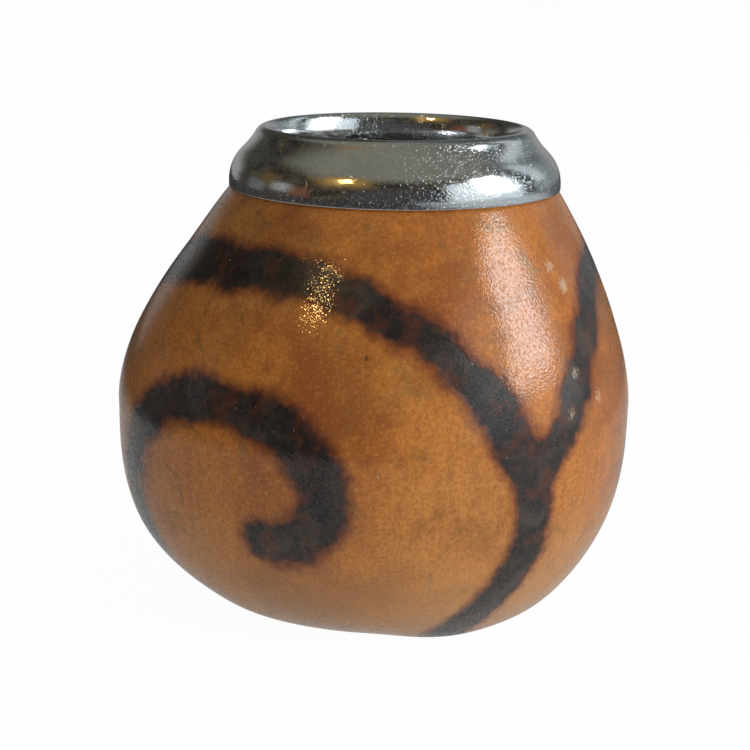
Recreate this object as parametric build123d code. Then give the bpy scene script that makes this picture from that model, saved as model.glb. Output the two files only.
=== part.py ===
from build123d import *
import os
from math import asin, cos, pi, sin, sqrt

# A drinking cup made from a dried gourd, with a spun metal collar round its cut mouth.
# Millimetres, +Z up. The origin is on the table, under the middle of the belly.

# The gourd's outside. Each level is a ring with a radius and a centre that drifts along X.
seat_height = 83.2        # where the collar's lower edge sits
belly_height = 41.8       # the widest level
belly_radius = 50.9
shoulder_power = 1.6      # how soon the shoulder leaves the belly's width
base_power = 3.0          # how square the base is
base_reach = 1.12         # depth at which the base would close, in belly heights; over 1 gives a foot
neck_shift = 3.5          # the mouth stands off the belly's middle
neck_shift_power = 1.5
foot_shift = 6.7          # and so does the foot
foot_shift_power = 6.5
plan_squash = 0.02        # the belly is this much narrower along Y

# The gourd's inside
wall = 5.0
floor_thickness = 6.0
level_count = 16          # rings from the floor to the neck
level_crowding = 1.4      # over 1 brings them closer together near the floor

# The collar, in heights above its lower edge
sheet = 0.9
band_width = 8.7          # from the sleeve's inside to the skirt's outside
skirt_land = 1.0          # the straight stretch at the lower edge
shoulder_arc = 8.2        # radius of the rounded shoulder above it
shoulder_rise = 6.0       # how far up the arc runs
lip_height = 11.4
lip_outside = 2.1         # radius of the lip's outer side
lip_angle = pi / 6        # where that side ends, up from level; a shallow cove joins it to the shoulder
flare_width = 1.6         # the lip's inside flares from the throat by this much
flare_depth = 4.5         # and over this depth, as a quarter of an ellipse
throat_radius = 23.4      # inside of the sleeve
sleeve_depth = 4.0        # the sleeve reaches this far below the skirt's edge

# Where the gourd's rim stands inside the collar
collar_gap = 0.3
skirt_overhang = 0.5      # the skirt stands proud of the gourd's neck, whose cut ledge it sits on
rim_height = 6.0
rim_lip = 1.0             # the rim overhangs the hollow by this much
merge = 1.0               # solids that join or cut run this far past each other

# Worked out from the sizes above
collar_axis = Location((neck_shift, 0, seat_height))
skirt_radius = throat_radius + band_width
neck_radius = skirt_radius - skirt_overhang
sleeve_radius = throat_radius + sheet
mouth_radius = sleeve_radius + collar_gap
arc_centre_r = skirt_radius - shoulder_arc
crest_radius = throat_radius + flare_width


def arc_radius_at(height, arc):
    """Radius from the collar's axis of a shoulder arc, at a height above the seat."""
    return arc_centre_r + sqrt(arc ** 2 - (height - skirt_land) ** 2)


def level(height, belly, neck, floor):
    """Centre offset and radius of the gourd's ring at one height."""
    if height >= belly_height:
        rise = (height - belly_height) / (seat_height - belly_height)
        return neck_shift * rise ** neck_shift_power, neck + (belly - neck) * (1 - rise ** shoulder_power)
    drop = (belly_height - height) / (belly_height - floor)
    return foot_shift * drop ** foot_shift_power, belly * sqrt(1 - (drop / base_reach) ** base_power)


def ring(height, belly, neck, floor):
    """One closed ring, round at the neck and a little narrower along Y at the belly."""
    offset, radius = level(height, belly, neck, floor)
    rise = max(0, (height - belly_height) / (seat_height - belly_height))
    return Pos(offset, 0, height) * Ellipse(radius, radius * (1 - plan_squash * (1 - rise)))


def gourd_body(belly, neck, floor):
    """A solid through the rings, which crowd together where the base turns in."""
    heights = [floor + (seat_height - floor) * (i / (level_count - 1)) ** level_crowding
               for i in range(level_count)]
    return loft([ring(height, belly, neck, floor) for height in heights])


def rim():
    """The cut rim that stands up inside the collar, narrower than its skirt by the gap."""
    arc = shoulder_arc - sheet - collar_gap
    top_radius = arc_radius_at(rim_height, arc)
    middle = (skirt_land + rim_height) / 2
    with BuildPart() as made:
        with BuildSketch(Plane.XZ):
            with BuildLine():
                Polyline((0, -merge), (arc_centre_r + arc, -merge), (arc_centre_r + arc, skirt_land))
                ThreePointArc((arc_centre_r + arc, skirt_land), (arc_radius_at(middle, arc), middle),
                              (top_radius, rim_height))
                Polyline((top_radius, rim_height), (0, rim_height), (0, -merge))
            make_face()
        revolve(axis=Axis.Z)
    return collar_axis * made.part


def gourd():
    """Belly and rim, hollowed out and opened through the mouth."""
    body = gourd_body(belly_radius, neck_radius, 0) + rim()
    hollow = gourd_body(belly_radius - wall, mouth_radius + rim_lip, floor_thickness)
    mouth = Pos(0, 0, -merge) * Cylinder(mouth_radius, rim_height + 2 * merge,
                                         align=(Align.CENTER, Align.CENTER, Align.MIN))
    return body - hollow - collar_axis * mouth


def lip_point(angle):
    """A point on the lip's outer side, at an angle up from level."""
    return (crest_radius + lip_outside * cos(angle), lip_height - lip_outside + lip_outside * sin(angle))


def heading(angle):
    """Which way the outline runs, going up, where its arc has come to this angle."""
    return (-sin(angle), cos(angle))


def collar():
    """Skirt, rounded shoulder, shallow cove, rolled lip and sleeve, turned from one outline."""
    inner_arc = shoulder_arc - sheet
    arc_end = (arc_radius_at(shoulder_rise + skirt_land, shoulder_arc), shoulder_rise + skirt_land)
    arc_middle_z = skirt_land + shoulder_rise / 2
    under_top = (sleeve_radius, skirt_land + sqrt(inner_arc ** 2 - (sleeve_radius - arc_centre_r) ** 2))
    under_middle_z = (skirt_land + under_top[1]) / 2
    flare_foot = lip_height - flare_depth
    shoulder_angle = asin(shoulder_rise / shoulder_arc)
    lip_end = lip_point(lip_angle)
    with BuildPart() as made:
        with BuildSketch(Plane.XZ):
            with BuildLine():
                Line((skirt_radius, 0), (skirt_radius, skirt_land))
                ThreePointArc((skirt_radius, skirt_land),
                              (arc_radius_at(arc_middle_z, shoulder_arc), arc_middle_z), arc_end)
                Spline(arc_end, lip_end, tangents=(heading(shoulder_angle), heading(lip_angle)))
                ThreePointArc(lip_end, lip_point((lip_angle + pi / 2) / 2), (crest_radius, lip_height))
                EllipticalCenterArc((crest_radius, flare_foot), flare_width, flare_depth, 90, arc_size=90)
                Polyline((throat_radius, flare_foot), (throat_radius, -sleeve_depth),
                         (sleeve_radius, -sleeve_depth), under_top)
                ThreePointArc(under_top, (arc_radius_at(under_middle_z, inner_arc), under_middle_z),
                              (skirt_radius - sheet, skirt_land))
                Polyline((skirt_radius - sheet, skirt_land), (skirt_radius - sheet, 0), (skirt_radius, 0))
            make_face()
        revolve(axis=Axis.Z)
    return collar_axis * made.part


os.makedirs("parts", exist_ok=True)
for name, make in (("gourd", gourd), ("collar", collar)):
    piece = make()
    export_step(piece, f"parts/{name}.step")
    box = piece.bounding_box()
    print(name, "volume", round(piece.volume / 1000, 1), "cm3, from", box.min, "to", box.max)
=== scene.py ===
# %% [markdown]
# # A gourd cup with a spun collar
# The cup is a dried gourd, cut open at the neck, burned with broad swirls and varnished. A collar spun from
# aluminium sheet hooks over the cut. The imported frame gives the sizes and the places. This lesson
# gives each piece a smooth mesh turned on an axis, then its finish, and then a small studio.

# %% The frame, the tools and a helper that measures a part's box
import math

import bmesh
import bpy
import numpy as np
from mathutils import Matrix, Vector, noise


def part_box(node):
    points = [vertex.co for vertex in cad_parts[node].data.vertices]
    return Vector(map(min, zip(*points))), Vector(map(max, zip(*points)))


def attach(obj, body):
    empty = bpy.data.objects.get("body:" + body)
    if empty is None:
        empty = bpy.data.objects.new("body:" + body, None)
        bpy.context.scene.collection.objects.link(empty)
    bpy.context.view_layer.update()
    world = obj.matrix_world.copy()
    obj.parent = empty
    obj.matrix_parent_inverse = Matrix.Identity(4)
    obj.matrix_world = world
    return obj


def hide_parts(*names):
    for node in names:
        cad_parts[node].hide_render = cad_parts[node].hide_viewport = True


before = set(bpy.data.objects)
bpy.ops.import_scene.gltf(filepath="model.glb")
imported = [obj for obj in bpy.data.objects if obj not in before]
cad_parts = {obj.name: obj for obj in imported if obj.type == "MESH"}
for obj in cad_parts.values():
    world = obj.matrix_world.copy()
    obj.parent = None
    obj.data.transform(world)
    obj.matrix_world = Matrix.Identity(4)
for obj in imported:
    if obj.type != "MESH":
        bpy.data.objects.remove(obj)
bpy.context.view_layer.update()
MM = 0.001

# %% [markdown]
# ## The gourd's measures
# A gourd grows round an axis that leans a little, so each level is a ring with its own radius and its own
# centre. Two short formulas say how the radius and the centre change with height. The same measures drive the
# frame, so the mesh lands where the frame is. They are in millimetres and are turned into metres at the end.

# %% Measures of the gourd and of the collar
SEAT = 83.2              # height of the collar's lower edge
BELLY_HEIGHT = 41.8
BELLY_RADIUS = 50.9
NECK_RADIUS = 31.6
SHOULDER_POWER = 1.6     # how soon the shoulder leaves the belly's width
BASE_POWER = 3           # how square the base is
BASE_REACH = 1.12        # depth at which the base would close, in belly heights; over 1 leaves a foot
NECK_SHIFT = 3.5         # the mouth stands off the belly's middle
NECK_SHIFT_POWER = 1.5
FOOT_SHIFT = 6.7         # and so does the foot
FOOT_SHIFT_POWER = 6.5
PLAN_SQUASH = 0.02       # the belly is this much narrower from front to back
WALL = 5.0
FLOOR = 6.0
SKIRT_RADIUS = 32.1
SKIRT_LAND = 1.0         # the straight stretch at the collar's lower edge
SHEET = 0.9
SHOULDER_ARC = 8.2       # radius of the collar's rounded shoulder
THROAT_RADIUS = 23.4
SLEEVE_RADIUS = THROAT_RADIUS + SHEET
SLEEVE_DEPTH = 4.0
COLLAR_GAP = 0.3
MOUTH_RADIUS = SLEEVE_RADIUS + COLLAR_GAP
RIM_HEIGHT = 6           # how far the gourd's cut rim stands up inside the collar
low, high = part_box("collar")
print("collar spans", [round(v / MM, 1) for v in low], "to", [round(v / MM, 1) for v in high])


def level(height, belly=BELLY_RADIUS, neck=NECK_RADIUS, floor=0.0):
    """Centre offset and radius of the ring at one height."""
    if height >= BELLY_HEIGHT:
        rise = min((height - BELLY_HEIGHT) / (SEAT - BELLY_HEIGHT), 1)
        return NECK_SHIFT * rise ** NECK_SHIFT_POWER, neck + (belly - neck) * (1 - rise ** SHOULDER_POWER)
    drop = (BELLY_HEIGHT - height) / (BELLY_HEIGHT - floor)
    return FOOT_SHIFT * drop ** FOOT_SHIFT_POWER, belly * math.sqrt(1 - (drop / BASE_REACH) ** BASE_POWER)


# %% [markdown]
# ## Turning a shape
# Both pieces are turned, so one helper does the turning: it strings a few vertices along the outline, joins
# them with edges and spins them once round the upright axis. A screw modifier would do the same, but a spin
# gives the vertices at once, and the next steps move them. It leaves doubles at the poles, which are merged,
# and may leave the faces pointing inwards, which is put right last.

# %% A helper that spins an outline
def spin_outline(mesh, outline, steps):
    """Spins (radius, height) points once round Z and returns the new vertices."""
    before = set(mesh.verts)
    verts = [mesh.verts.new((radius, 0, height)) for radius, height in outline]
    edges = [mesh.edges.new(pair) for pair in zip(verts, verts[1:])]
    bmesh.ops.spin(mesh, geom=verts + edges, cent=(0, 0, 0), axis=(0, 0, 1), angle=2 * math.pi,
                   steps=steps, use_merge=True)
    return [vert for vert in mesh.verts if vert not in before]


def arc(centre, radius, start, end, count):
    """Points on an arc from one angle to another, in degrees from the outward direction."""
    angles = np.radians(np.linspace(start, end, count))
    return [(centre[0] + radius * math.cos(a), centre[1] + radius * math.sin(a)) for a in angles]


def finish_piece(name, mesh, node):
    """Closes a turned shape, brings it to metres and lets it stand for its node."""
    bmesh.ops.remove_doubles(mesh, verts=mesh.verts, dist=0.002)
    bmesh.ops.recalc_face_normals(mesh, faces=mesh.faces)
    bmesh.ops.scale(mesh, vec=(MM, MM, MM), verts=mesh.verts)
    for face in mesh.faces:
        face.smooth = True
    data = bpy.data.meshes.new(name)
    mesh.to_mesh(data)
    mesh.free()
    piece = bpy.data.objects.new(name, data)
    bpy.context.scene.collection.objects.link(piece)
    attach(piece, "root")
    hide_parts(node)
    print(name, len(data.polygons), "faces")
    return piece


# %% [markdown]
# ## The gourd's mesh
# The outside needs small faces, under a millimetre, because the burned strokes are stored on its vertices.
# The inside is only seen through the mouth, so its rings stand further apart. The rings are spun true, as a
# lathe would leave them, and then moved: each to its own centre and a little narrower from front to back.

# %% Spin the outside
TURNS = 360
body = bmesh.new()
foot = [(0, 0), (9, 0), (17, 0), (22, 0), (25, 0.04), (26.6, 0.2), (28, 0.6), (29.4, 1.1)]
outer_heights = np.concatenate([np.linspace(1.7, 12, 18), np.linspace(12.8, SEAT, 92)])
outside = [(level(z)[1], z) for z in outer_heights]
rim_arc = arc((SKIRT_RADIUS - SHOULDER_ARC, SEAT + SKIRT_LAND), SHOULDER_ARC - SHEET - COLLAR_GAP, 0, 45, 8)
rim = [(30.9, SEAT)] + rim_arc + [(28.8, SEAT + RIM_HEIGHT), (MOUTH_RADIUS, SEAT + RIM_HEIGHT),
                                  (MOUTH_RADIUS, SEAT)]
outer_verts = spin_outline(body, foot + outside + rim, TURNS)
print("outside", len(outer_verts), "vertices")

# %% [markdown]
# ## Nothing grown is quite round
# Two sizes of smooth noise press the skin in and out by a fraction of a millimetre, and a few hollows and
# swellings are deeper: a dent under the collar, and the foot's uneven edge. All of it
# dies out towards the collar, so that the two pieces still meet.

# %% Dent the outside
NECK_FADE = 12           # the unevenness dies out over this height below the collar
FOOT_FADE = 6            # and the noise over this height above the table
# Hollows and swellings: angle from the front, height, how far they spread and how deep they are
DENTS = [(-82, 76, 13, 0.9), (-39, 5, 9, -1.4), (18, 0.5, 9, -1.2), (-6, 1, 7, 0.9), (50, 5, 8, -0.4)]


def lumpy(vert, size, depth, seed):
    """How far a point is pressed in, from smooth noise of one size."""
    return depth * (0.5 + 0.5 * noise.noise(Vector((seed, 0, 0)) + vert / size))


def dented(vert):
    """How far the hollows press a point in; swellings count below nought."""
    total = 0
    for angle, height, spread, depth in DENTS:
        turn = math.radians(angle - 90)
        radius = level(height)[1]
        middle = Vector((radius * math.cos(turn), radius * math.sin(turn), height))
        total += depth * math.exp(-((vert - middle).length / spread) ** 2)
    return total


for vert in outer_verts:
    height = vert.co.z
    offset, _ = level(height)
    below_collar = min(1, max(0, (SEAT - height) / NECK_FADE))
    rise = min(1, max(0, (height - BELLY_HEIGHT) / (SEAT - BELLY_HEIGHT)))
    press = below_collar * min(1, height / FOOT_FADE) * (
        lumpy(vert.co, 26, 0.5, 3) + lumpy(vert.co, 9, 0.16, 11) - 0.22)
    press += dented(vert.co) * below_collar
    radius = math.hypot(vert.co.x, vert.co.y)
    if radius > 0:
        shrink = (radius - press) / radius
        vert.co.x *= shrink
        vert.co.y *= shrink * (1 - PLAN_SQUASH * (1 - rise))
    vert.co.x += offset
print("hollows and swellings", len(DENTS))

# %% Spin the inside
inner_heights = SEAT - 1 - (SEAT - 1 - FLOOR) * np.linspace(0, 1, 34) ** 0.8
inside = [(level(z, BELLY_RADIUS - WALL, MOUTH_RADIUS + 1, FLOOR)[1], z) for z in inner_heights]
inner_verts = spin_outline(body, [(MOUTH_RADIUS, SEAT)] + inside + [(12, FLOOR), (0, FLOOR)], TURNS)
for vert in inner_verts:
    vert.co.x += level(vert.co.z, floor=FLOOR if vert.co.z < BELLY_HEIGHT else 0)[0]
gourd = finish_piece("gourd_shell", body, "gourd")

# %% [markdown]
# ## The burned swirls
# The swirls are drawn by hand with a hot iron, so each one is a short list of points: the angle round the
# gourd from the front, the height and the stroke's width. A smooth curve runs through the points. They could
# be painted in an image, but a distance is sharper and needs no unwrapping: every vertex keeps its distance
# from the nearest stroke's edge, negative inside, and the finish turns that into char, scorch and bare skin.

# %% Draw the strokes
STROKES = {
    "arch": [(-105, 66, 9.5), (-78, 70, 9), (-60, 72, 8.5), (-40, 72.3, 8), (-20, 72, 7), (-8, 69.5, 7),
             (2, 66.5, 7), (11, 62.8, 6.5), (19, 57.5, 7), (26, 50.5, 8), (31.5, 43, 8.5), (35, 36, 8.5),
             (35.8, 29, 8.2), (34, 20, 7.5), (27.5, 10, 8), (15, 1, 8)],
    "hook": [(-80, 1, 6), (-66, 8, 6.5), (-62, 18, 7), (-65, 28, 7.5), (-60, 40, 7.5), (-49, 48, 7.5),
             (-38, 50.3, 7.5), (-28, 49.8, 8), (-19, 47.3, 9), (-12.5, 42.5, 9.5), (-9.3, 36.5, 9.5),
             (-10, 30.5, 9), (-15, 26.8, 8.5), (-22.5, 26.3, 7.5)],
    "branch": [(112, 74, 8), (88, 71.5, 7.5), (70, 69, 7), (60, 63.5, 7), (54, 58, 7), (48, 51, 7.5),
               (42, 43, 7), (37, 37, 7)],
    "back_band": [(112, 74, 8), (135, 74, 8.5), (158, 70, 8), (182, 65, 9), (206, 62, 8.5), (230, 63, 8.5),
                  (255, 66, 9)],
    "back_hook": [(104, 2, 6), (90, 12, 6.5), (83, 24, 7), (82, 36, 7.5), (88, 47, 7.5), (102, 54, 8),
                  (120, 54, 9), (136, 48, 9.5), (144, 38, 9.5), (139, 29, 9), (126, 25, 8.5), (117, 27, 7.5)],
    "back_arch": [(204, 62, 8), (192, 53, 7.5), (187, 43, 8), (190, 32, 8), (201, 22, 7.5), (216, 13, 7),
                  (236, 5, 7)],
}


def on_skin(angle, height):
    """The point on the gourd at an angle from the front and a height."""
    offset, radius = level(height)
    turn = math.radians(angle - 90)
    return (offset + radius * math.cos(turn), radius * math.sin(turn), height)


def smooth_run(points, count=14):
    """Points on a Catmull-Rom curve through the given ones."""
    knots = np.array([points[0]] + points + [points[-1]], dtype=float)
    run = []
    for a, b, c, d in zip(knots, knots[1:], knots[2:], knots[3:]):
        for t in np.linspace(0, 1, count, endpoint=False):
            run.append(0.5 * (2 * b + (c - a) * t + (2 * a - 5 * b + 4 * c - d) * t ** 2
                              + (3 * b - a - 3 * c + d) * t ** 3))
    return np.array(run + [knots[-1]])


stroke_points = np.vstack([smooth_run(points) for points in STROKES.values()])
print("strokes", len(STROKES), "points along them", len(stroke_points))

# %% [markdown]
# ## Distances on the vertices
# A number stored on each vertex is an attribute, which a material can read. The strokes are stored as one,
# and so are two kinds of small mark from use: pale scars where the skin is scuffed, and dark pits.

# %% Store the distances
LOWEST = 0.2             # strokes that run under the gourd keep to its foot's edge
FARTHEST_IN = -6         # distances are cut off where they no longer show
FARTHEST_OUT = 20
BLOCK = 5000             # vertices measured at a time, to spare memory
flat_places = np.empty(len(gourd.data.vertices) * 3)
gourd.data.vertices.foreach_get("co", flat_places)
vertex_places = flat_places.reshape(-1, 3) / MM


def store_distance(name, centres, radii):
    """Keeps on each vertex how far the nearest of some balls is; returns the distances."""
    nearest = np.empty(len(vertex_places))
    for start in range(0, len(vertex_places), BLOCK):
        block = vertex_places[start:start + BLOCK]
        gap = np.linalg.norm(block[:, None, :] - centres[None], axis=2) - radii[None]
        nearest[start:start + BLOCK] = gap.min(axis=1)
    attribute = gourd.data.attributes.new(name, "FLOAT", "POINT")
    attribute.data.foreach_set("value", np.clip(nearest, FARTHEST_IN, FARTHEST_OUT))
    return nearest


stroke_places = np.array([on_skin(angle, max(height, LOWEST)) for angle, height, _ in stroke_points])
edge = store_distance("burn", stroke_places, stroke_points[:, 2] / 2)
# Small marks: angle from the front, height and radius
MARKS = {
    "scar": [(49, 72.5, 0.9), (52, 69, 1.2), (48.5, 54.4, 0.7), (56, 49, 0.8), (45.5, 47.5, 0.7),
             (34, 21, 0.4), (-9, 36, 0.3), (140, 60, 1.1), (216, 45, 0.8)],
    "pit": [(-25, 57, 0.6), (30, 15.6, 0.5), (14, 34.6, 0.5), (15.5, 34.2, 0.6), (-3, 60, 0.5),
            (170, 30, 0.7)],
}
for mark, spots in MARKS.items():
    store_distance(mark, np.array([on_skin(angle, height) for angle, height, _ in spots]),
                   np.array([radius for _, _, radius in spots]))
print("share burned", round(float((edge < 0).mean()), 2), "kinds of mark", len(MARKS))

# %% [markdown]
# ## The collar
# The collar is one disc of sheet, spun over a form into a skirt, a round shoulder, a shallow cove and a
# rolled lip, which flares down into a sleeve in the mouth. Its outline is arcs, one smooth run for the cove
# and a quarter of an ellipse for the flare. The lower edge gets a tiny rounding, because a perfectly sharp
# edge catches no light, and hand spinning leaves the ring a few hundredths of a millimetre uneven.

# %% Measures of the collar's outline, above its lower edge
SHOULDER_TURN = 47       # degrees that the shoulder's arc runs up from level
LIP_TURN = 30            # where the lip's outer arc begins, in degrees up from level
LIP_HEIGHT = 11.4
LIP_OUTSIDE = 2.1        # radius of the lip's outer side
FLARE_WIDTH = 1.6        # the lip's inside flares from the throat by this much
FLARE_DEPTH = 4.5
CREST = THROAT_RADIUS + FLARE_WIDTH
SKIRT_INSIDE = SKIRT_RADIUS - SHEET
INNER_EDGE = 0.15        # roundings of the skirt's lower edge
OUTER_EDGE = 0.2
shoulder = (SKIRT_RADIUS - SHOULDER_ARC, SKIRT_LAND)
print("crest radius", CREST, "shoulder centre", shoulder)


def cove(start, end, start_angle, end_angle, count):
    """A smooth run from one arc's end to the next one's, leaving and arriving in line with both."""
    length = math.dist(start, end)
    leave = Vector((-math.sin(math.radians(start_angle)), math.cos(math.radians(start_angle)))) * length
    arrive = Vector((-math.sin(math.radians(end_angle)), math.cos(math.radians(end_angle)))) * length
    return [tuple((2 * t ** 3 - 3 * t ** 2 + 1) * Vector(start) + (t ** 3 - 2 * t ** 2 + t) * leave
                  + (3 * t ** 2 - 2 * t ** 3) * Vector(end) + (t ** 3 - t ** 2) * arrive)
            for t in np.linspace(0, 1, count)[1:-1]]


# %% Spin the collar
COLLAR_TURNS = 288
skirt_bottom = arc((SKIRT_INSIDE + INNER_EDGE, INNER_EDGE), INNER_EDGE, 180, 270, 4)
skirt_bottom += arc((SKIRT_RADIUS - OUTER_EDGE, OUTER_EDGE), OUTER_EDGE, 270, 360, 6)
outline = [(SKIRT_INSIDE, 0.12)] + skirt_bottom + [(SKIRT_RADIUS, 0.5)]
outline += arc(shoulder, SHOULDER_ARC, 0, SHOULDER_TURN, 24)
lip = arc((CREST, LIP_HEIGHT - LIP_OUTSIDE), LIP_OUTSIDE, LIP_TURN, 90, 14)
outline += cove(outline[-1], lip[0], SHOULDER_TURN, LIP_TURN, 12) + lip
outline += [(CREST - FLARE_WIDTH * math.sin(a), LIP_HEIGHT - FLARE_DEPTH * (1 - math.cos(a)))
            for a in np.linspace(0, math.pi / 2, 22)[1:]]
outline += [(THROAT_RADIUS, height) for height in (5.5, 2, -1, -3.9)]
outline += arc((THROAT_RADIUS + SHEET / 2, SHEET / 2 - SLEEVE_DEPTH), SHEET / 2, 200, 340, 5)
outline += [(SLEEVE_RADIUS, -2), (SLEEVE_RADIUS, 3)]
outline += arc(shoulder, SHOULDER_ARC - SHEET, 86, 0, 16) + [(SKIRT_INSIDE, 0.6), (SKIRT_INSIDE, 0.12)]
metal = bmesh.new()
for vert in spin_outline(metal, outline, COLLAR_TURNS):
    reach = Vector((vert.co.x, vert.co.y))
    reach *= 1 + (lumpy(vert.co, 9, 0.14, 5) - 0.07) / reach.length
    vert.co.x, vert.co.y = reach
bmesh.ops.translate(metal, verts=metal.verts, vec=(NECK_SHIFT, 0, SEAT))
collar = finish_piece("collar_spun", metal, "collar")

# %% [markdown]
# ## Finishes
# A finish is a small graph of nodes. A few short helpers place nodes and join them, so that each material
# below reads as a recipe.

# %% Helpers that place nodes
def new_material(name):
    """An empty material and its graph."""
    material = bpy.data.materials.new(name)
    material.use_nodes = True
    material.node_tree.nodes.clear()
    return material, material.node_tree


def put(tree, socket, value):
    """Links a socket to another one, or sets it to a plain value."""
    if isinstance(value, bpy.types.NodeSocket):
        tree.links.new(value, socket)
    else:
        socket.default_value = value


def place(tree, kind, settings=None, **inputs):
    """Adds a node, sets its properties, and sets or links its inputs; a number names a socket as _0, _1."""
    node = tree.nodes.new("ShaderNode" + kind)
    for key, value in (settings or {}).items():
        setattr(node, key, value)
    for key, value in inputs.items():
        put(tree, node.inputs[int(key[1:]) if key[0] == "_" else key.replace("_", " ")], value)
    return node


def sums(tree, operation, a, b):
    """One step of arithmetic; a step that needs one number leaves the second unread."""
    return place(tree, "Math", {"operation": operation}, _0=a, _1=b).outputs[0]


def ramp(tree, value, low, high, to_low=0.0, to_high=1.0):
    """A soft step from to_low to to_high as the value passes from low to high."""
    return place(tree, "MapRange", {"interpolation_type": "SMOOTHSTEP"}, _0=value, _1=low, _2=high,
                 _3=to_low, _4=to_high).outputs[0]


def blend(tree, mask, first, second):
    """The first colour where the mask is nought, the second where it is one."""
    node = place(tree, "Mix", {"data_type": "RGBA"})
    for socket, value in zip((node.inputs[0], node.inputs[6], node.inputs[7]), (mask, first, second)):
        put(tree, socket, value)
    return node.outputs[2]


def speckle(tree, coords, scale, detail=2.0, roughness=0.5, **more):
    """Smooth noise; the scale is how many blotches there are to the metre."""
    return place(tree, "TexNoise", Vector=coords, Scale=scale, Detail=detail, Roughness=roughness,
                 **more).outputs["Fac"]


def bump(tree, height, distance, strength=1.0, normal=None):
    """Relief of a depth in metres, on top of other relief."""
    extra = {"Normal": normal} if normal else {}
    return place(tree, "Bump", Strength=strength, Distance=distance, Height=height, **extra).outputs[0]


def shade(tree, **inputs):
    """The surface itself, which ends the graph."""
    shader = place(tree, "BsdfPrincipled", **inputs)
    place(tree, "OutputMaterial", Surface=shader.outputs[0])
    print("nodes in this finish", len(tree.nodes))


# %% [markdown]
# Both the varnish and the metal have a fine grain that breaks a highlight into sparks. It is one effect at
# two sizes, so it is a node group: coordinates, how many pebbles go to the metre and a share of wider waves
# go in, and a height comes out.

# %% The shared fine grain
grain = bpy.data.node_groups.new("fine_grain", "ShaderNodeTree")
grain.interface.new_socket("Coords", in_out="INPUT", socket_type="NodeSocketVector")
for socket_name, way in (("Scale", "INPUT"), ("Waviness", "INPUT"), ("Height", "OUTPUT")):
    grain.interface.new_socket(socket_name, in_out=way, socket_type="NodeSocketFloat")
grain_in = grain.nodes.new("NodeGroupInput").outputs
grain_out = grain.nodes.new("NodeGroupOutput")
pebbles = place(grain, "TexNoise", Vector=grain_in["Coords"], Scale=grain_in["Scale"], Detail=1.5)
waves = place(grain, "TexNoise", Vector=grain_in["Coords"],
              Scale=sums(grain, "MULTIPLY", grain_in["Scale"], 0.12), Detail=2.0)
wave_part = sums(grain, "MULTIPLY", waves.outputs["Fac"], grain_in["Waviness"])
grain.links.new(sums(grain, "ADD", pebbles.outputs["Fac"], wave_part), grain_out.inputs["Height"])


def grained(tree, coords, scale, waviness):
    """The shared grain, at this finish's own size."""
    node = tree.nodes.new("ShaderNodeGroup")
    node.node_tree = grain
    for name, value in (("Coords", coords), ("Scale", scale), ("Waviness", waviness)):
        put(tree, node.inputs[name], value)
    return node.outputs["Height"]


print("grain group sockets", [item.name for item in grain.interface.items_tree])

# %% [markdown]
# ## The varnished skin
# Dried gourd skin is amber, clouded with browner and greener patches. Its lowest 35 mm are painted paler, a
# painted glow that stands in for light bounced up from the white floor. The layers go on as they do on the
# real skin: the grown colour and the painted bounce light first, then the burning, then scuffs and dust, then
# varnish.
# An image would give one fixed skin, but noise in the object's own space has no seams and reaches all round.

# %% The grown colour, and painted bounce light at the base
AMBER = (0.53, 0.180, 0.022, 1)
RUSSET = (0.27, 0.076, 0.012, 1)
STRAW = (0.58, 0.25, 0.050, 1)
OLIVE = (0.20, 0.115, 0.028, 1)
PAINTED_BOUNCE_LIGHT = (0.60, 0.34, 0.14, 1)
PALE_SCAR = (0.62, 0.46, 0.33, 1)
SCORCH = (0.115, 0.024, 0.008, 1)
CHAR = (0.012, 0.009, 0.009, 1)
ASH = (0.050, 0.036, 0.030, 1)

skin, tree = new_material("varnished_skin")
coords = place(tree, "TexCoord").outputs["Object"]
clouds = speckle(tree, coords, 45, 6, 0.62)
patches = speckle(tree, coords, 120, 6, 0.7, Distortion=0.8)
upright = place(tree, "Mapping", Vector=coords, Scale=(1, 1, 0.3)).outputs[0]
streaks = speckle(tree, upright, 480, 3, 0.65)
flecks = speckle(tree, coords, 1500, 3, 0.7)
pores = speckle(tree, coords, 2300, 1)
height = place(tree, "SeparateXYZ", Vector=coords).outputs["Z"]
colour = blend(tree, ramp(tree, clouds, 0.36, 0.60), RUSSET, AMBER)
colour = blend(tree, ramp(tree, speckle(tree, coords, 26, 3), 0.48, 0.7, 0, 0.6), colour, STRAW)
colour = blend(tree, ramp(tree, patches, 0.53, 0.66, 0, 0.65), colour, OLIVE)
colour = blend(tree, ramp(tree, streaks, 0.4, 0.7, 0.0, 0.4), colour, RUSSET)
colour = blend(tree, ramp(tree, flecks, 0.42, 0.66, 0.0, 0.5), colour, RUSSET)
colour = blend(tree, ramp(tree, flecks, 0.46, 0.34, 0.0, 0.35), colour, STRAW)
colour = blend(tree, ramp(tree, pores, 0.66, 0.74, 0.0, 0.55), colour, SCORCH)
# Painted bounce light: over its lowest 35 mm the skin is lightened towards a pale tan, standing in for light
# from the floor.
colour = blend(tree, ramp(tree, height, 0.035, 0.0, 0, 0.6), colour, PAINTED_BOUNCE_LIGHT)
print("layers of grown colour over the first clouds", 7)

# %% [markdown]
# The iron leaves near-black char with a reddish scorch round it, ragged over a millimetre or two. Two sizes
# of noise are added to the stored distance, which makes the rag, and two soft steps of that distance make
# char and scorch. Inside a stroke the char is grey with ash here, and burned thin to a red brown there.

# %% The burning
def stored(name):
    """A distance kept on the vertices."""
    return place(tree, "Attribute", {"attribute_name": name}).outputs["Fac"]


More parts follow.
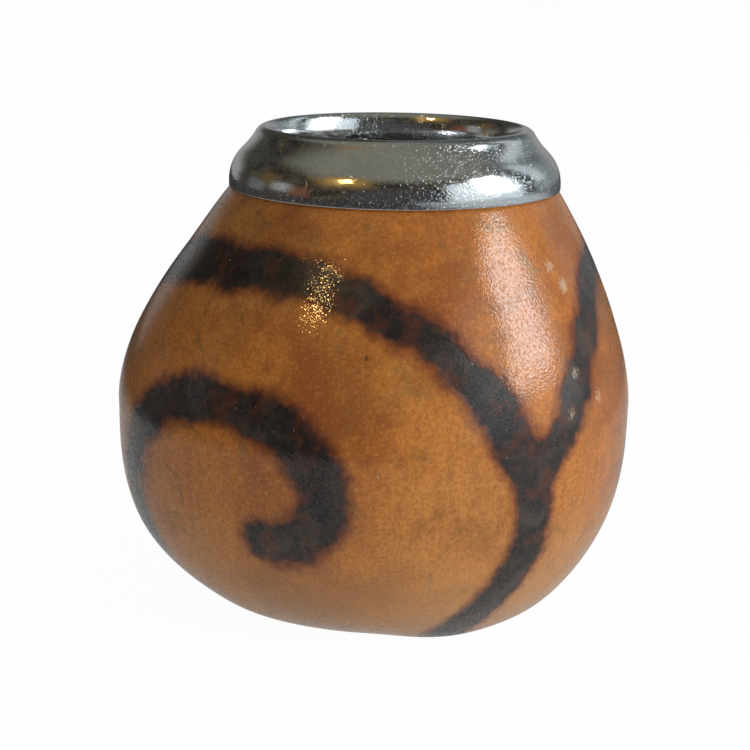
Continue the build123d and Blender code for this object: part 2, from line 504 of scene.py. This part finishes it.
distance = stored("burn")
ragged = sums(tree, "ADD", distance, ramp(tree, speckle(tree, coords, 130, 3, 0.5), 0.25, 0.75, -0.9, 0.9))
ragged = sums(tree, "ADD", ragged, ramp(tree, speckle(tree, coords, 620, 2), 0.25, 0.75, -0.4, 0.4))
scorched = ramp(tree, ragged, -0.2, 2.6, 1, 0)
charred = ramp(tree, ragged, -0.9, 0.6, 1, 0)
colour = blend(tree, sums(tree, "MULTIPLY", scorched, 0.85), colour, SCORCH)
soot = blend(tree, ramp(tree, patches, 0.42, 0.68), CHAR, ASH)
soot = blend(tree, ramp(tree, flecks, 0.5, 0.7, 0, 0.5), soot, ASH)
soot = blend(tree, ramp(tree, speckle(tree, coords, 210, 4, 0.65), 0.50, 0.66, 0, 0.45), soot, SCORCH)
colour = blend(tree, charred, colour, soot)
print("nodes up to the burning", len(tree.nodes))

# %% [markdown]
# Scars and pits come from their own stored distances, nibbled by the same flecks. The varnish is the shader's
# clear coat: brushed on thin, it is missing in tiny spots and follows the fine grain, so a window's
# reflection on it breaks up.

# %% The marks, the relief and the varnish
nibbled = ramp(tree, flecks, 0.3, 0.7, -0.5, 0.5)
scarred = ramp(tree, sums(tree, "ADD", stored("scar"), nibbled), -0.4, 0.6, 0.5, 0)
colour = blend(tree, scarred, colour, PALE_SCAR)
pitted = ramp(tree, sums(tree, "ADD", stored("pit"), nibbled), -0.2, 0.3, 0.85, 0)
colour = blend(tree, pitted, colour, CHAR)
dust = ramp(tree, speckle(tree, coords, 1900, 0.5), 0.80, 0.84, 0, 0.5)
colour = blend(tree, dust, colour, PALE_SCAR)
relief = bump(tree, grained(tree, coords, 2400, 0.25), 0.00005, 0.8)
relief = bump(tree, charred, -0.00010, 0.5, relief)
relief = bump(tree, sums(tree, "ADD", pitted, scarred), -0.00008, 0.6, relief)
thin_spots = ramp(tree, speckle(tree, coords, 2100, 2, 0.6), 0.36, 0.56, 0.3, 1.0)
shade(tree, Base_Color=colour, Roughness=0.5, Specular_IOR_Level=0.3, Coat_Weight=thin_spots,
      Coat_Roughness=0.06, Normal=relief, Coat_Normal=relief)

# %% [markdown]
# ## The dry inside
# Scraped gourd flesh is dull and dark brown from the leaves, with fibres that run up the wall. Noise drawn
# out along the height gives both the fibres' colour and their relief.

# %% Flesh
DARK_FLESH = (0.055, 0.028, 0.012, 1)
PALE_FLESH = (0.16, 0.09, 0.04, 1)
flesh, tree = new_material("dry_flesh")
coords = place(tree, "TexCoord").outputs["Object"]
drawn_out = place(tree, "Mapping", Vector=coords, Scale=(1, 1, 0.15)).outputs[0]
fibres = speckle(tree, drawn_out, 420, 4, 0.6)
colour = blend(tree, ramp(tree, fibres, 0.3, 0.7), DARK_FLESH, PALE_FLESH)
shade(tree, Base_Color=colour, Roughness=0.85, Normal=bump(tree, fibres, 0.0004, 0.7))

# %% [markdown]
# ## The spun aluminium
# Polished by hand and then used, so it is bright but not a mirror. The wear is in four sizes: the fine grain,
# small pits that flash far from a lamp, hairline scratches and specks of dirt. A hairline is where
# noise passes through its middle value, and a second noise lets it show only here and there.

# %% Metal
ALUMINIUM_DULL = (0.70, 0.72, 0.74, 1)
ALUMINIUM_CLEAN = (0.80, 0.80, 0.80, 1)
DIRT = (0.30, 0.27, 0.22, 1)
aluminium, tree = new_material("spun_aluminium")
coords = place(tree, "TexCoord").outputs["Object"]
hairlines = []
for number, size in enumerate((190, 310)):
    turned = {"Location": (number, 0, 0), "Rotation": (0, 0, number)}
    shifted = place(tree, "Mapping", Vector=coords, **turned).outputs[0]
    middle = sums(tree, "ABSOLUTE", sums(tree, "SUBTRACT", speckle(tree, shifted, size, 1), 0.5), 0)
    line = ramp(tree, middle, 0.001, 0.006, 1, 0)
    here = ramp(tree, speckle(tree, shifted, size * 2.6, 1), 0.57, 0.66)
    hairlines.append(sums(tree, "MULTIPLY", line, here))
scratches = sums(tree, "MAXIMUM", *hairlines)
smudge = speckle(tree, coords, 110, 4, 0.6)
pits = ramp(tree, speckle(tree, coords, 3300, 1), 0.60, 0.72)
specks = ramp(tree, speckle(tree, coords, 1900, 1), 0.74, 0.80)
colour = blend(tree, ramp(tree, smudge, 0.35, 0.7), ALUMINIUM_DULL, ALUMINIUM_CLEAN)
colour = blend(tree, sums(tree, "MULTIPLY", specks, 0.6), colour, DIRT)
rough = sums(tree, "ADD", ramp(tree, smudge, 0.3, 0.75, 0.09, 0.16), sums(tree, "MULTIPLY", scratches, 0.15))
relief = bump(tree, grained(tree, coords, 2600, 0.4), 0.00002, 0.8)
relief = bump(tree, pits, -0.00003, 0.8, relief)
relief = bump(tree, scratches, -0.000015, 0.8, relief)
shade(tree, Base_Color=colour, Metallic=1.0, Roughness=rough, Normal=relief)

# %% [markdown]
# ## Which face gets which finish
# The gourd is one mesh with two finishes. A face is flesh where it lies above the cut, or nearer to the axis
# than the outside wall could bring it; the rest is skin. The collar is metal all over.

# %% Give each face its finish
WALL_HALF = 2.5          # faces this far inside the outer wall belong to the inside
gourd.data.materials.append(skin)
gourd.data.materials.append(flesh)
for face in gourd.data.polygons:
    centre = face.center / MM
    reach = math.hypot(centre.x - level(centre.z)[0], centre.y)
    inside_wall = reach < level(max(centre.z, 0))[1] - WALL_HALF and centre.z > 1
    face.material_index = 1 if centre.z > SEAT + 0.01 or inside_wall else 0
collar.data.materials.append(aluminium)
print("skin faces", sum(face.material_index == 0 for face in gourd.data.polygons))

# %% [markdown]
# ## The studio
# The gourd stands on a white floor in soft light from the right. The camera sees a white surround, but as
# light that white would be too strong, so Light Path tells the two apart: the floor and the world glow
# white where they are seen, and carry only a little light to the cup.

# %% Floor and surroundings
def background_light(tree):
    """One where a ray comes from the camera, a mirror or glass, and nought where it carries soft light."""
    path = place(tree, "LightPath").outputs
    seen = sums(tree, "MAXIMUM", path["Is Camera Ray"], path["Is Glossy Ray"])
    return sums(tree, "MAXIMUM", seen, path["Is Transmission Ray"])


FLOOR_SIZE = 12          # metres from the middle to the edge
paper, tree = new_material("white_floor")
matte = place(tree, "BsdfDiffuse", Color=(0.85, 0.85, 0.85, 1))
glow = place(tree, "Emission", Color=(1, 1, 1, 1), Strength=1.03)
share = sums(tree, "MULTIPLY", background_light(tree), 0.94)
mixed = place(tree, "MixShader", _0=share, _1=matte.outputs[0], _2=glow.outputs[0])
place(tree, "OutputMaterial", Surface=mixed.outputs[0])
ground = bmesh.new()
bmesh.ops.create_grid(ground, x_segments=1, y_segments=1, size=FLOOR_SIZE)
floor_data = bpy.data.meshes.new("floor")
ground.to_mesh(floor_data)
ground.free()
floor_data.materials.append(paper)
floor = bpy.data.objects.new("floor", floor_data)
bpy.context.scene.collection.objects.link(floor)

world = bpy.data.worlds.new("studio")
bpy.context.scene.world = world
world.use_nodes = True
tree = world.node_tree
tree.nodes.clear()
soft = place(tree, "Background", Color=(0.95, 0.97, 1, 1), Strength=0.24)
white = place(tree, "Background", Color=(1, 1, 1, 1), Strength=1.0)
mixed = place(tree, "MixShader", _0=background_light(tree), _1=soft.outputs[0], _2=white.outputs[0])
place(tree, "OutputWorld", Surface=mixed.outputs[0])
print("floor", floor.name, "world", world.name)

# %% [markdown]
# ## A room for the reflections
# Polished metal is only as good as what it reflects, and a white surround would leave the collar white and
# flat. So a closed dome and a table top stand round the cup for reflections alone: no camera ray, soft light
# or shadow meets them. The dome's glow is laid out as a plain room's would be, in patches with soft edges: a
# tall window at the right, walls, curtains, a door and a few dim things at the left, and a lamp's warm glow.

# %% Helpers for what only reflections see
AIM = Vector((0, 0, 0.07))  # the point of the cup that everything round it faces, in metres
DOME_RADIUS = 1.6


def direction(azimuth, elevation):
    """Unit vector from the cup, azimuth in degrees from the front towards the right."""
    a, e = math.radians(azimuth), math.radians(elevation)
    return Vector((math.sin(a) * math.cos(e), -math.cos(a) * math.cos(e), math.sin(e)))


def glowing(name, colour, strength=1.0):
    """A material that shines with a colour, plain or from a graph made with the given function."""
    material, tree = new_material(name)
    shine = place(tree, "Emission", Color=colour(tree) if callable(colour) else colour, Strength=strength)
    place(tree, "OutputMaterial", Surface=shine.outputs[0])
    return material


def reflected_only(name, mesh, material):
    """Turns a mesh into a part of the studio that reflections see and nothing else does."""
    data = bpy.data.meshes.new(name)
    mesh.to_mesh(data)
    mesh.free()
    data.materials.append(material)
    card = bpy.data.objects.new(name, data)
    bpy.context.scene.collection.objects.link(card)
    card.visible_camera = card.visible_diffuse = card.visible_shadow = card.visible_transmission = False
    print(name, len(data.polygons), "faces, for reflections only")


# %% The room's patches of light
# From and to which azimuth, from and to which elevation, how soft the edges are, and the light
ROOM = {
    "middle_wall": (-30, 32, -12, 24, 8, (0.055, 0.055, 0.060)),
    "ceiling": (-190, 190, 48, 95, 10, (0.20, 0.20, 0.165)),
    "left_wall": (-190, -136, -12, 14, 7, (0.34, 0.34, 0.33)),
    "back_dark": (-190, -128, 14, 62, 8, (0.045, 0.045, 0.038)),
    "right_wall": (98, 190, -12, 46, 6, (0.22, 0.25, 0.26)),
    "right_dark": (138, 190, 20, 60, 8, (0.085, 0.10, 0.105)),
    "right_corner": (150, 190, -12, 16, 7, (0.32, 0.32, 0.31)),
    "lamp_glow": (-58, -20, 30, 50, 9, (0.34, 0.20, 0.05)),
    "door": (-76, -58, -12, 17, 3, (0.17, 0.070, 0.035)),
    "cupboard": (-108, -92, 6, 28, 4, (0.13, 0.080, 0.032)),
    "left_curtain": (-118, -99, -12, 11, 3, (0.14, 0.15, 0.15)),
    "pale_jug": (-91, -77, 3, 18, 4, (0.34, 0.35, 0.35)),
    "window_frame": (98, 111, -2, 44, 4, (0.060, 0.070, 0.075)),
    "right_curtain": (113, 127, 10, 42, 3, (0.55, 0.60, 0.62)),
    "window_glow": (38, 97, -12, 37, 3, (0.78, 0.88, 0.93)),
    "window": (64, 88, 10, 41, 2, (9.0, 9.4, 9.6)),
}


def between(tree, value, low, high, soft):
    """One inside the range, nought outside, with soft ends."""
    return sums(tree, "MULTIPLY", ramp(tree, value, low - soft, low + soft),
                ramp(tree, value, high - soft, high + soft, 1, 0))


def room_light(tree):
    """The light of the room in each direction from the cup."""
    coords = place(tree, "TexCoord").outputs["Object"]
    coords = place(tree, "Mapping", Vector=coords, Location=-AIM).outputs[0]
    out = place(tree, "VectorMath", {"operation": "NORMALIZE"}, _0=coords).outputs[0]
    parts = place(tree, "SeparateXYZ", Vector=out).outputs
    turn = sums(tree, "ARCTAN2", parts["X"], sums(tree, "MULTIPLY", parts["Y"], -1))
    azimuth = sums(tree, "DEGREES", turn, 0)
    elevation = sums(tree, "DEGREES", sums(tree, "ARCSINE", parts["Z"], 0), 0)
    uneven = ramp(tree, speckle(tree, coords, 2.2, 3), 0.35, 0.65)
    light = blend(tree, uneven, (0.020, 0.019, 0.017, 1), (0.075, 0.064, 0.045, 1))
    for azimuth_from, azimuth_to, low, high, soft, colour in ROOM.values():
        here = sums(tree, "MULTIPLY", between(tree, azimuth, azimuth_from, azimuth_to, soft),
                    between(tree, elevation, low, high, soft))
        light = blend(tree, here, light, (*colour, 1))
    return light


room = bmesh.new()
ribs = [room.verts.new(AIM + direction(-180, elevation) * DOME_RADIUS)
        for elevation in np.linspace(-2.5, 90, 24)]
edges = [room.edges.new(pair) for pair in zip(ribs, ribs[1:])]
bmesh.ops.spin(room, geom=ribs + edges, cent=AIM, axis=(0, 0, 1), angle=2 * math.pi, steps=90, use_merge=True)
reflected_only("dim_dome", room, glowing("dim_room", room_light))

# %% [markdown]
# The table top is dim too, apart from a pale ring of paper close to the cup and a sunny corner under the
# window. The warm lamp is small and bright, so it is a card of its own and not a patch of the dome.

# %% The table top and the lamp
DIM_TABLE = (0.045, 0.042, 0.040, 1)
SUNNY_TABLE = (0.50, 0.55, 0.57, 1)
PALE_PAPER = (0.45, 0.45, 0.44, 1)


def table_light(tree):
    """The light of the table top round the cup."""
    coords = place(tree, "TexCoord").outputs["Object"]
    parts = place(tree, "SeparateXYZ", Vector=coords).outputs
    reach = place(tree, "VectorMath", {"operation": "LENGTH"}, _0=coords).outputs["Value"]
    sunny = sums(tree, "MULTIPLY", ramp(tree, parts["X"], 0.1, 0.5), ramp(tree, parts["Y"], 0.1, 0.5, 1, 0.2))
    lit = blend(tree, sunny, DIM_TABLE, SUNNY_TABLE)
    return blend(tree, ramp(tree, reach, 0.32, 0.16), lit, PALE_PAPER)


def card_at(name, azimuth, elevation, distance, width, height, material):
    """A flat card that faces the cup."""
    mesh = bmesh.new()
    bmesh.ops.create_grid(mesh, x_segments=1, y_segments=1, size=0.5)
    out = direction(azimuth, elevation)
    turn = out.to_track_quat("Z", "Y").to_matrix().to_4x4()
    bmesh.ops.scale(mesh, vec=(width, height, 1), verts=mesh.verts)
    bmesh.ops.transform(mesh, matrix=Matrix.Translation(AIM + out * distance) @ turn, verts=mesh.verts)
    reflected_only(name, mesh, material)


table = bmesh.new()
bmesh.ops.create_circle(table, cap_ends=True, segments=64, radius=DOME_RADIUS)
bmesh.ops.translate(table, verts=table.verts, vec=(0, 0, 0.0005))
reflected_only("dim_table", table, glowing("dim_table_top", table_light))
card_at("warm_lamp", -39, 42, 1.3, 0.036, 0.09, glowing("warm_glass", (1, 0.62, 0.2, 1), 160))

# %% [markdown]
# ## The light on the cup
# Three large soft lamps light the skin: the window's side from the right, a low one from the front that opens
# the shadow under the belly, and a weak one at the left. Reflections don't see them, because the room
# above already shows where the light comes from.

# %% Lamps that carry the light
def soft_lamp(name, azimuth, elevation, distance, size, power, colour):
    """A square lamp that faces the cup."""
    data = bpy.data.lights.new(name, "AREA")
    data.size = size
    data.energy = power
    data.color = colour
    lamp = bpy.data.objects.new(name, data)
    bpy.context.scene.collection.objects.link(lamp)
    out = direction(azimuth, elevation)
    lamp.location = AIM + out * distance
    lamp.rotation_euler = out.to_track_quat("Z", "Y").to_euler()
    lamp.visible_glossy = False
    print(name, power, "W")


soft_lamp("window_light", 66, 16, 1.2, 0.7, 9.5, (1, 0.99, 0.97))
soft_lamp("low_light", 15, 1, 1.3, 0.8, 6.5, (1, 0.97, 0.93))
soft_lamp("left_low_light", -55, 0, 1.3, 0.8, 1.2, (1, 0.97, 0.93))

# %% [markdown]
# ## The camera
# It stands about a forearm's length away, as someone would who looks down at the cup in front of them, so the
# near side looms a little. A longer lens from further off would flatten the mouth's ring.

# %% Camera
CAMERA_PLACE = (0.28, -300, 126.7)
LOOKS_DOWN = 15.29       # degrees below level
ROLL = 0.86              # degrees
LENS = 74.2
camera_data = bpy.data.cameras.new("camera")
camera_data.lens = LENS
camera = bpy.data.objects.new("camera", camera_data)
bpy.context.scene.collection.objects.link(camera)
camera.matrix_world = (Matrix.Translation(Vector(CAMERA_PLACE) * MM)
                       @ Matrix.Rotation(math.radians(90 - LOOKS_DOWN), 4, "X")
                       @ Matrix.Rotation(math.radians(ROLL), 4, "Z"))
bpy.context.scene.camera = camera
bpy.context.scene.view_settings.view_transform = "Standard"
print("camera", CAMERA_PLACE, "lens", LENS)
